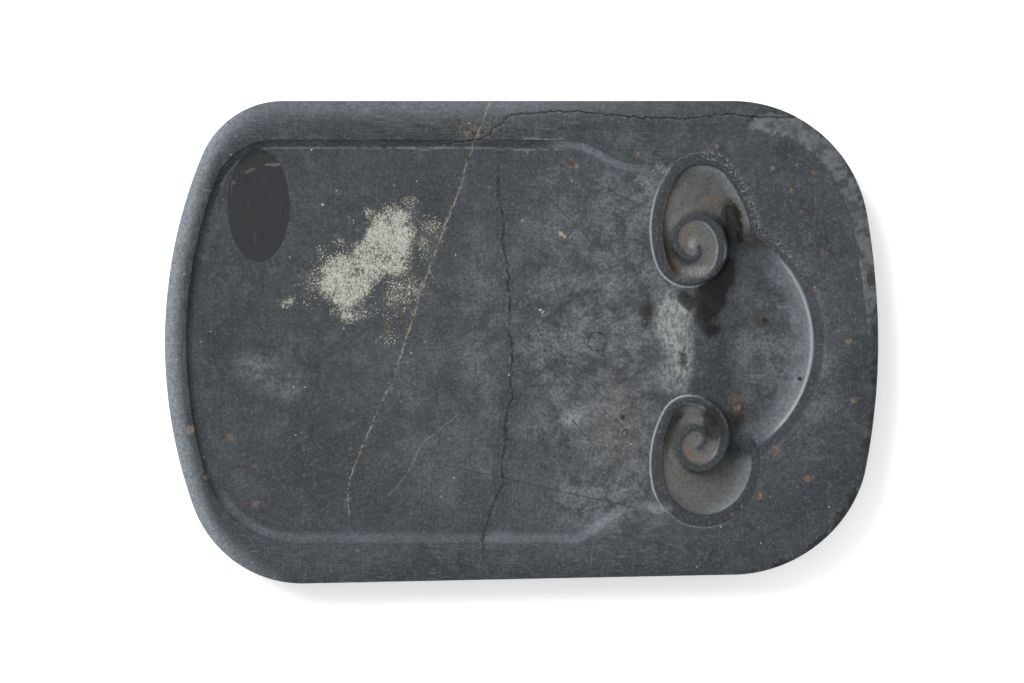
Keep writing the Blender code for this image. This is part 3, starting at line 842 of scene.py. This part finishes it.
# %% Slate colours
SLATE, SLATE_DEEP, SLATE_PALE = (0.026, 0.030, 0.0345), (0.0105, 0.012, 0.0145), (0.080, 0.088, 0.098)
PETAL, PALE_WEAR_AND_HIGHLIGHT, GRIT = (0.088, 0.086, 0.080), (0.20, 0.224, 0.25), (0.2, 0.21, 0.215)
LIME_WHITE, LIME_GREY = (0.33, 0.332, 0.292), (0.072, 0.073, 0.062)
TAN, RUST = (0.21, 0.182, 0.13), (0.15, 0.080, 0.045)
BROWN, INK_BLACK = (0.024, 0.016, 0.010), (0.006, 0.0055, 0.005)

bench = Bench("slate")
coarse = bench.noise(17, 3, 0.55)
cloudy = bench.noise(5, 4, 0.6)
grain = bench.noise(0.85, 4, 0.75)
fine = bench.noise(0.42, 2, 0.6)
mottle = bench.noise(2.6, 4, 0.7)
slate = bench.colour(SLATE_DEEP, SLATE, coarse.step(0.25, 0.58) * 0.65 + 0.35)
slate = bench.colour(slate, SLATE_PALE, cloudy.step(0.45, 0.8) * 0.35)
slate = bench.colour(slate, SLATE_DEEP, mottle.step(0.48, 0.25) * 0.6)
slate = bench.colour(slate, (0.0085, 0.0095, 0.011),
                     bench.mark("smear") * (0.35 + cloudy.step(0.38, 0.58) * 0.65) * 0.9)
slate = bench.colour(slate, SLATE_DEEP, grain.step(0.5, 0.3) * 0.8)
slate = bench.colour(slate, SLATE_PALE, grain.step(0.52, 0.72) * 0.62)
slate = bench.colour(slate, SLATE_DEEP, fine.step(0.46, 0.3) * 0.5)
slate = bench.colour(slate, SLATE_PALE, fine.step(0.54, 0.74) * 0.45)

# %% Rim, haze and grinding streaks
floor_at, side_at = bench.mark("floor"), bench.mark("side")
haze = bench.mark("haze") * (0.1 + bench.noise(7, 5, 0.7).step(0.36, 0.66) * 1.1)
slate = bench.colour(slate, (0.125, 0.134, 0.142), haze.least(1.0) * (0.28 + grain.step(0.4, 0.6) * 0.5))
slate = bench.colour(slate, SLATE_DEEP, bench.mark("haze") * bench.noise(6, 5, 0.75).step(0.48, 0.35) * 0.7)
slate = bench.colour(slate, (0.2, 0.21, 0.216),
                     haze.least(1.0) * bench.noise(0.55, 4, 0.8).step(0.56, 0.68) * 0.35)
on_rim = floor_at.step(0.0, -0.8) * bench.noise(9, 2).step(0.3, 0.6)
for mark, across, up, turn in (("sides", 5, 0.5, 2), ("end", 0.5, 4, 6)):
    brushed = bench.noise(1, 5, 0.75, bench.stretched(across, up, 9, turn))
    here = on_rim * bench.mark(mark)
    slate = bench.colour(slate, SLATE_PALE, brushed.step(0.5, 0.7) * here * 0.7)
    slate = bench.colour(slate, SLATE_DEEP, brushed.step(0.48, 0.28) * here * 0.7)
on_band = bench.mark("on_band")
slate = bench.colour(slate, (0.016, 0.0185, 0.022), on_band * 0.88)
slate = bench.colour(slate, (0.10, 0.11, 0.12), on_band * bench.noise(0.7, 4, 0.75).step(0.52, 0.68) * 0.55)
# The bevel at the back right is paler: partly worn, partly painted highlight on a face tilted toward the
# lamp; darker patches break it up.
bevel = bench.mark("bevel")
slate = bench.colour(slate, (0.115, 0.122, 0.126), bevel * (0.12 + mottle.step(0.38, 0.62) * 0.5))
slate = bench.colour(slate, SLATE_DEEP, bevel * bench.noise(3.4, 4, 0.7).step(0.44, 0.3) * 0.7)
crease = abs(bench.mark("crease") - 0.1)
slate = bench.colour(slate, PALE_WEAR_AND_HIGHLIGHT, crease.step(0.35, 0.05) * bench.mark("at_crease")
                     * mottle.step(0.44, 0.62) * 0.32)
swept = bench.noise(1, 3, 0.6, bench.stretched(0.5, 14, 9))
in_floor_at = floor_at.step(0.2, 1.2)
slate = bench.colour(slate, SLATE_DEEP, swept.step(0.47, 0.25) * in_floor_at * 0.35)
for turn, length in ((62, 30), (118, 12), (12, 10), (-35, 8)):
    hair = bench.noise(1, 2, 0.5, bench.stretched(0.2, length, 9, turn))
    slate = bench.colour(slate, (0.105, 0.115, 0.125), hair.step(0.67, 0.76) * mottle.step(0.4, 0.6) * 0.55)

# %% Lobes, worn edges with painted highlight, and rough places
petal = bench.mark("carving") * (0.75 + bench.noise(3, 3).step(0.3, 0.7) * 0.25)
slate = bench.colour(slate, PETAL, petal * (0.5 + grain.step(0.36, 0.6) * 0.4))
slate = bench.colour(slate, SLATE_DEEP, petal * mottle.step(0.46, 0.3) * 0.45)
slate = bench.colour(slate, SLATE_DEEP, bench.mark("shaded") * 0.5)
# Worn places and painted highlight in one pale colour, with the palest grains where the mask is strongest.
worn = bench.mark("worn") * (0.45 + bench.noise(0.9, 4, 0.75).step(0.34, 0.62) * 0.65)
slate = bench.colour(slate, PALE_WEAR_AND_HIGHLIGHT, (worn * 0.92).least(1.0))
slate = bench.colour(slate, (0.33, 0.36, 0.39),
                     bench.mark("worn").step(0.75, 1.2) * grain.step(0.3, 0.5) * 0.75)
stained = bench.mark("stain") * (1 - on_band) * (0.4 + mottle.step(0.36, 0.62) * 0.6)
slate = bench.colour(slate, (0.098, 0.060, 0.036), stained * 0.7)
rough = bench.mark("rough") * bench.noise(0.7, 4, 0.8).step(0.48, 0.64)
slate = bench.colour(slate, GRIT, rough * 0.6)

# %% Veins and the crack
jitter = (bench.noise(2.6, 4, 0.7) - 0.5) * 1.4
tan_line = abs(bench.mark("tan_vein") + jitter)
tan_here = bench.mark("at_tan_vein")
tan = tan_line.step(0.22, 0.04) * bench.noise(2.2, 5, 0.8).step(0.42, 0.58) * tan_here
slate = bench.colour(slate, TAN, tan * 0.85)
slate = bench.colour(slate, TAN, tan_line.step(1.3, 0.1) * grain.step(0.45, 0.65) * tan_here * 0.2)
pale_line = abs(bench.mark("pale_vein") + jitter * 0.6)
slate = bench.colour(slate, TAN, pale_line.step(0.26, 0.05) * bench.noise(3, 2).step(0.35, 0.6)
                     * bench.mark("at_pale_vein") * 0.35)
dark_line = abs(bench.mark("dark_vein") + jitter * 1.6 + (bench.noise(5, 2) - 0.5) * 2.4)
dark_here = bench.noise(2.4, 3, 0.7).step(0.36, 0.56) * bench.mark("at_dark_vein")
slate = bench.colour(slate, SLATE_DEEP, dark_line.step(2.4, 0.4) * bench.mark("at_dark_vein")
                     * mottle.step(0.38, 0.6) * 0.55)
slate = bench.colour(slate, INK_BLACK, dark_line.step(0.48, 0.08) * dark_here * 0.85)
slate = bench.colour(slate, SLATE_PALE, abs(dark_line - 0.75).step(0.4, 0.1) * dark_here
                     * grain.step(0.42, 0.6) * 0.5)
scratch = abs(bench.mark("scratch") + jitter * 0.12).step(0.24, 0.05) * bench.mark("at_scratch")
slate = bench.colour(slate, SLATE_DEEP, scratch * 0.55)
crumb = bench.mark("crumb")
slate = bench.colour(slate, (0.12, 0.108, 0.08), crumb * bench.noise(0.8, 4, 0.8).step(0.46, 0.6) * 0.75)
slate = bench.colour(slate, INK_BLACK, crumb * bench.noise(1.1, 4, 0.75).step(0.46, 0.36) * 0.8)
crack_at = abs(bench.mark("crack"))
crack_here = bench.mark("at_crack")
slate = bench.colour(slate, INK_BLACK, crack_at.step(0.3, 0.1) * crack_here * 0.9)
slate = bench.colour(slate, SLATE_PALE, crack_at.step(0.9, 0.25) * grain.step(0.4, 0.6) * crack_here * 0.4)

# %% [markdown]
# ## Lime, ink with painted shadow, and rust
#
# Hard water left a crust of lime in the middle of the floor. It is thick where the patch is dense and
# breaks into specks at its fringe, so the patch is a threshold on noise that the mask raises and lowers.

# %% Lime and the kept oval
lime = bench.mark("lime")
speck = bench.noise(1, 4, 0.8, bench.stretched(0.55, 0.85, 1, -35))
cover = (speck + (bench.noise(5, 4, 0.65) - 0.5) * 0.45 + lime * 0.36).step(0.76, 0.86) * lime.step(0.02, 0.2)
slate = bench.colour(slate, LIME_GREY, lime.step(0.3, 0.9) * 0.6)
limey = bench.colour((0.20, 0.175, 0.125), LIME_WHITE, (lime + (mottle - 0.5) * 1.2).step(0.25, 0.75))
slate = bench.colour(slate, limey, cover * (0.62 + grain.step(0.35, 0.6) * 0.38))
slate = bench.colour(slate, LIME_GREY, cover * fine.step(0.52, 0.34) * 0.75)
lip = bench.mark("pale_lip") * (0.3 + bench.noise(1, 4, 0.7, bench.stretched(0.8, 2.6, 3)).step(0.36, 0.6))
slate = bench.colour(slate, (0.23, 0.237, 0.236), lip.least(1.0) * (0.35 + grain.step(0.36, 0.6) * 0.45))

WARP = 1.6  # noise pushes each place by up to this many millimetres, and by half of it on average
warped = bench.node("ShaderNodeVectorMath", {"operation": "MULTIPLY_ADD"},
                    {0: bench.noise(1.2, 3, 0.6, out="Color"), 1: (WARP * MM, WARP * MM, 0), 2: bench.place})
warped = bench.node("ShaderNodeVectorMath", {"operation": "MULTIPLY"}, {0: warped, 1: (1, 1, 0)})


def from_spot(x, y):
    """Metres from a place in millimetres, with a ragged edge; the mean push of the warp is taken up here."""
    middle = ((x + WARP / 2) * MM, (y + WARP / 2) * MM, 0)
    return bench.node("ShaderNodeVectorMath", {"operation": "DISTANCE"}, {0: warped, 1: middle}, "Value")



OVAL_AT, OVAL_HALF = (-70.0, 36.4), (8.3, 15.0)
oval_shift = (-OVAL_AT[0] / OVAL_HALF[0], -OVAL_AT[1] / OVAL_HALF[1], 0)
centred = bench.node("ShaderNodeMapping", {}, {"Vector": bench.place, "Location": oval_shift,
                                                  "Scale": (1 / (OVAL_HALF[0] * MM),
                                                            1 / (OVAL_HALF[1] * MM), 0)})
from_oval = bench.node("ShaderNodeVectorMath", {"operation": "LENGTH"}, {0: centred},
                       "Value") + (cloudy - 0.5) * 0.06
oval = from_oval.step(1.02, 0.985) * in_floor_at
slate = bench.colour(slate, (0.0075, 0.0088, 0.0105), oval * 0.9)
slate = bench.colour(slate, SLATE_PALE, oval
                     * bench.noise(1, 3, 0.6, bench.stretched(0.5, 9, 9, 3)).step(0.56, 0.72) * 0.12)
tan_arc = (bench.node("ShaderNodeVectorMath", {"operation": "DISTANCE"},
                      {0: warped, 1: (-0.0647, 0.0325, 0)}, "Value") - 0.0157)
slate = bench.colour(slate, TAN, abs(tan_arc).step(0.0007, 0.0001) * oval * mottle.step(0.47, 0.62) * 0.3)

# %% Ink with painted shadow, and mud
# The ink mask darkens dried ink and also paints the shadow of the scrolls and of the lip's slope.
ink_and_shadow_at = bench.mark("ink")
inked_and_shaded = (ink_and_shadow_at + (bench.noise(4, 5, 0.75) - 0.5) * 1.3).step(0.32, 0.75) * ink_and_shadow_at.step(0.02, 0.3)
slate = bench.colour(slate, (0.0055, 0.005, 0.0045), inked_and_shaded * (0.84 + mottle.step(0.6, 0.4) * 0.14))
mud_at = bench.mark("mud")
muddy = (mud_at * 0.75 + (bench.noise(2.6, 5, 0.8) - 0.5) * 1.8).step(0.3, 0.95) * mud_at.step(0.02, 0.3)
slate = bench.colour(slate, BROWN, muddy * 0.8)
chipped = bench.mark("chips").step(0.05, 0.3)
slate = bench.colour(slate, INK_BLACK, chipped * (0.35 + mottle.step(0.35, 0.6) * 0.4))

# %% Rust specks
RUST_SPOTS = [
    (1.5, 50.8, 0.7, 0.5), (30.9, 50, 0.8, 0.8), (-77.7, -25.3, 1.5, 0.55), (-88.1, -23.3, 1.6, 0.8),
    (-71.2, -33, 1.0, 0.35), (-70.7, -43.2, 1.3, 0.5), (-83.9, -36, 0.8, 0.6), (-28.3, -25, 0.7, 0.35),
    (66.9, 46.3, 0.9, 1.0),
    (71.8, 40.3, 0.9, 0.7), (74.2, 41.8, 0.8, 0.4), (70.2, 36.6, 0.6, 0.5), (74.3, 34.7, 0.8, 0.6),
    (80.2, 24.2, 0.8, 0.35),
    (78.2, 13.9, 0.7, 0.7), (77.7, 45.2, 0.9, 0.6), (73.4, 46.9, 0.6, 0.6), (52, 52.1, 0.8, 0.6),
    (51.8, 37.7, 0.7, 0.55),
    (87.1, 0.4, 1.1, 0.7), (88.5, -15.6, 1.2, 0.7), (67.7, -28.8, 1.6, 0.7), (76.2, -36.2, 1.4, 0.75),
    (63.3, -40.8, 1.3, 0.9),
    (80.3, -26.7, 0.7, 0.5), (78.9, -31.2, 0.7, 0.4), (73.4, -38.4, 0.7, 0.4), (56.2, -45.7, 0.8, 0.6),
    (58.6, -43.8, 0.6, 0.9),
    (57.8, -17.4, 1.3, 0.6), (41.2, 16.6, 0.6, 0.6), (59, 19.7, 0.8, 0.3), (47.2, -56.1, 0.7, 0.4),
    (41.7, -57.2, 0.7, 0.3),
    (31.9, -58.7, 0.7, 0.4), (-43.7, -55.3, 0.8, 0.4), (90, -39.3, 1.2, 0.6), (37.4, -39, 0.8, 0.3),
]
rusty = 0.0
for x, y, size, strength in RUST_SPOTS:
    spot = from_spot(x, y).step(size * MM, 0.35 * size * MM) * strength
    rusty = spot.most(rusty)
rusty = rusty * side_at.step(0.3, 0.0)
rust = bench.colour(RUST, (0.17, 0.125, 0.08), bench.noise(14, 1).step(0.42, 0.58))
slate = bench.colour(slate, rust, rusty * (0.25 + grain.step(0.36, 0.6) * 0.65))
PITS = ((74.3, -9.8, 0.45, 0), (65.2, 5.6, 0.75, 0), (20.2, 0.1, 2.45, 0.28), (27, -20, 0.42, 0),
        (27.7, -24.3, 0.8, 0.24),
        (21, -1, 14.7, 0.5))  # x, y, radius, and a ring's own width, or 0 for a filled pit
for x, y, size, ring in PITS:
    pit = from_spot(x, y)
    if ring:
        pit = abs(pit - size * MM).step(ring * MM, ring * MM / 4)
    else:
        pit = pit.step(1.7 * size * MM, 0.7 * size * MM)
    slate = bench.colour(slate, INK_BLACK, pit * (0.9 if size < 1 else 0.75 if size < 3 else 0.14))
FLAKES = [(13.4, 47.5, 0.95, (0.075, 0.020, 0.013)), (14.8, 46.9, 0.6, (0.16, 0.075, 0.038)),
          (10.5, 29.0, 0.7, (0.23, 0.165, 0.11)),
          (11.4, 28.3, 0.65, (0.23, 0.165, 0.11)), (5.0, 8.7, 0.4, (0.26, 0.235, 0.18)),
          (5.9, 8.0, 0.4, (0.26, 0.235, 0.18)),
          (0.4, 32.4, 0.5, (0.20, 0.16, 0.09)), (-53, 36.5, 0.35, (0.25, 0.25, 0.235)),
          (-55.8, 51.3, 0.35, (0.25, 0.25, 0.235))]
for x, y, size, tint in FLAKES:
    flake = from_spot(x, y).step(size * MM, 0.6 * size * MM)
    slate = bench.colour(slate, tint, flake * side_at.step(0.3, 0.0))
specks = bench.node("ShaderNodeTexVoronoi", {"feature": "F1"},
                    {"Vector": bench.stretched(4, 4, 4), "Scale": 1.0, "Randomness": 1.0}, "Distance")
slate = bench.colour(slate, (0.28, 0.285, 0.285),
                     specks.step(0.075, 0.045) * bench.noise(8, 2).step(0.45, 0.6) * 0.7)

# %% Gloss and grain
polished = oval * 0.06 + inked_and_shaded * 0.1
roughness = 0.66 + (grain - 0.5) * 0.25 + cover * 0.25 - polished
bump = (grain * 0.5 + fine * 0.25 + cloudy * 0.6 + cover * 0.5 + rough * 0.5 - tan
        * 0.3 - dark_line.step(0.5, 0.1) * 0.25)
bump = bump + side_at * bench.noise(2.4, 4, 0.65) * 1.6 - rusty * 0.4 - scratch * 0.3 - crumb * mottle
bench.plug(bench.shader.inputs["Base Color"], slate)
bench.plug(bench.shader.inputs["Roughness"], roughness)
bench.plug(bench.shader.inputs["Normal"],
           bench.node("ShaderNodeBump", {}, {"Strength": 0.55, "Distance": 0.00012, "Height": bump}))
bench.shader.inputs["Specular IOR Level"].default_value = 0.2
stone_mesh.materials.append(bench.material)
print("slate nodes:", len(bench.tree.nodes))

# %% [markdown]
# ## Grains of lime
#
# The thick part of the lime stands up in grains. Geometry Nodes scatter small rough pebbles over the patch,
# more where the mask is strong, from one fixed seed, and the result is turned into a plain mesh.

# %% Lime finish
crust = Bench("lime_crust")
crumbs = crust.noise(0.5, 3, 0.7)
tone = crust.colour((0.12, 0.121, 0.103), LIME_WHITE, crumbs.step(0.36, 0.56))
tone = crust.colour(tone, (0.40, 0.40, 0.36), crust.noise(1.4, 3, 0.6).step(0.5, 0.72) * 0.7)
tone = crust.colour((0.19, 0.165, 0.12), tone,
                    (crust.mark("thick") + (crust.noise(2.6, 3, 0.6) - 0.5) * 1.2).step(0.05, 0.45))
crust.plug(crust.shader.inputs["Base Color"], tone)
crust.plug(crust.shader.inputs["Roughness"], 0.85 + (crumbs - 0.5) * 0.2)
crust.plug(crust.shader.inputs["Normal"],
           crust.node("ShaderNodeBump", {}, {"Strength": 0.5, "Distance": 0.00008, "Height": crumbs}))
crust.shader.inputs["Specular IOR Level"].default_value = 0.2

# %% The patch that the grains grow on
lime_mask = masks["lime"][:top_count]
bed_faces = top_faces[(lime_mask[top_faces].min(1) > 0.12)]
used, bed_index = np.unique(bed_faces, return_inverse=True)
bed_mesh = bpy.data.meshes.new("lime_bed")
bed_mesh.from_pydata((np.column_stack((top_plan, height))[used] * MM).tolist(), [],
                     bed_index.reshape(-1, 3).tolist())
thick = bed_mesh.attributes.new("thick", "FLOAT", "POINT")
clumps = ease(drift(top_plan, 2.2, 31) + 0.6 * drift(top_plan, 0.9, 32), -0.7, 0.5)
thick.data.foreach_set("value", (lime_mask**1.6 * clumps)[used].astype(np.float32))
grains = bpy.data.objects.new("lime_grains", bed_mesh)
scene.collection.objects.link(grains)

# %% The tree
tree = bpy.data.node_groups.new("scatter_lime", "GeometryNodeTree")
tree.interface.new_socket("Geometry", in_out="OUTPUT", socket_type="NodeSocketGeometry")
inputs = {}
for name, kind in (("Geometry", "Geometry"), ("Grains per square metre", "Float"), ("Grain radius", "Float"),
                   ("Seed", "Int"), ("Finish", "Material")):
    inputs[name] = tree.interface.new_socket(name, in_out="INPUT", socket_type="NodeSocket" + kind).identifier


def step(kind, links, **settings):
    """Adds a node, sets it, and joins or fills its inputs; a link is (node, output name)."""
    made = tree.nodes.new(kind)
    for name, value in settings.items():
        setattr(made, name, value)
    for socket, value in links.items():
        if isinstance(value, tuple) and isinstance(value[0], bpy.types.Node):
            tree.links.new(value[0].outputs[value[1]], made.inputs[socket])
        else:
            made.inputs[socket].default_value = value
    return made


given = tree.nodes.new("NodeGroupInput")
thickness = step("GeometryNodeInputNamedAttribute", {"Name": "thick"}, data_type="FLOAT")
amount = step("ShaderNodeMath", {0: (thickness, "Attribute"), 1: (given, "Grains per square metre")},
              operation="MULTIPLY")
spread = step("GeometryNodeDistributePointsOnFaces",
              {"Mesh": (given, "Geometry"), "Density": (amount, 0), "Seed": (given, "Seed")})
pebble = step("GeometryNodeMeshIcoSphere", {"Radius": (given, "Grain radius"), "Subdivisions": 1})
lumpy = step("FunctionNodeRandomValue", {"Min": (0.5, 0.5, 0.25), "Max": (1.5, 1.2, 0.6),
                                         "Seed": (given, "Seed")}, data_type="FLOAT_VECTOR")
spin = step("FunctionNodeRandomValue", {"Min": (-0.3, -0.3, 0.0), "Max": (0.3, 0.3, 6.283),
                                        "Seed": (given, "Seed")}, data_type="FLOAT_VECTOR")
copies = step("GeometryNodeInstanceOnPoints", {"Points": (spread, "Points"), "Instance": (pebble, "Mesh"),
                                                "Rotation": (spin, "Value"), "Scale": (lumpy, "Value")})
real = step("GeometryNodeRealizeInstances", {"Geometry": (copies, "Instances")})
painted = step("GeometryNodeSetMaterial", {"Geometry": (real, "Geometry"), "Material": (given, "Finish")})
last = tree.nodes.new("NodeGroupOutput")
tree.links.new(painted.outputs["Geometry"], last.inputs["Geometry"])

# %% Growing them
PEBBLE_FACES = 20
scatter = grains.modifiers.new("scatter", "NODES")
scatter.node_group = tree
for name, value in (("Grains per square metre", 7.5e6), ("Grain radius", 0.2 * MM), ("Seed", 5),
                    ("Finish", crust.material)):
    scatter[inputs[name]] = value
grown = bpy.data.meshes.new_from_object(grains.evaluated_get(bpy.context.evaluated_depsgraph_get()))
grains.modifiers.clear()
grains.data = grown
grown.name = "lime_grains"
bpy.data.meshes.remove(bed_mesh)
print("lime grains:", len(grown.polygons) // PEBBLE_FACES, "faces:", len(grown.polygons))

# %% [markdown]
# ## Floor, light and camera
#
# A white table that glows faintly, one broad soft lamp from the back left and an even white surround give
# the soft shadow at the right and front. The camera looks straight down through a long lens, so the sides
# of the stone are hidden.

# %% Studio
PAPER_LIFT = 0.05  # the stone presses in by a hair, so that it and the paper never lie in one plane
CAMERA_HEIGHT, VIEW_WIDTH, SENSOR = 1.6, 0.27231, 36.0  # metres; the view is this wide at the stone's top


def plain_material(name, colour, roughness):
    material = bpy.data.materials.new(name)
    material.use_nodes = True
    material.node_tree.nodes["Principled BSDF"].inputs["Base Color"].default_value = (*colour, 1)
    material.node_tree.nodes["Principled BSDF"].inputs["Roughness"].default_value = roughness
    return material


work = bmesh.new()
bmesh.ops.create_grid(work, x_segments=1, y_segments=1, size=3.0)
table_mesh = bpy.data.meshes.new("studio_table")
work.to_mesh(table_mesh)
work.free()
for corner in table_mesh.vertices:
    corner.co.z = PAPER_LIFT * MM
paper = plain_material("white_paper", (0.93, 0.93, 0.93), 0.9)
paper_shader = paper.node_tree.nodes["Principled BSDF"]
paper_shader.inputs["Emission Color"].default_value = (1, 1, 1, 1)
paper_shader.inputs["Emission Strength"].default_value = 0.165
table_mesh.materials.append(paper)
table = bpy.data.objects.new("studio_table", table_mesh)
scene.collection.objects.link(table)

world = bpy.data.worlds.new("white_room")
world.use_nodes = True
world.node_tree.nodes["Background"].inputs["Color"].default_value = (1, 1, 1, 1)
world.node_tree.nodes["Background"].inputs["Strength"].default_value = 1.05
scene.world = world

lamp = bpy.data.lights.new("key_lamp", "AREA")
lamp.shape, lamp.size, lamp.energy = "DISK", 0.8, 21.0
key = bpy.data.objects.new("key_lamp", lamp)
key.location = Vector((-0.60, 0.60, 1.25))
key.rotation_euler = (-key.location).to_track_quat("-Z", "Y").to_euler()
scene.collection.objects.link(key)

view = bpy.data.cameras.new("camera")
view.sensor_width, view.clip_end = SENSOR, 10.0
view.lens = SENSOR * (CAMERA_HEIGHT - TOP * MM) / VIEW_WIDTH
camera = bpy.data.objects.new("camera", view)
camera.location = (-0.00247, 0.00018, CAMERA_HEIGHT)
scene.collection.objects.link(camera)
scene.camera = camera
scene.view_settings.view_transform = "Standard"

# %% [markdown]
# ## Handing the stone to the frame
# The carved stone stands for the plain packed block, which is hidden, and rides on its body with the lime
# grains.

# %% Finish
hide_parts("inkstone_block")
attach(stone, "root")
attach(grains, "root")
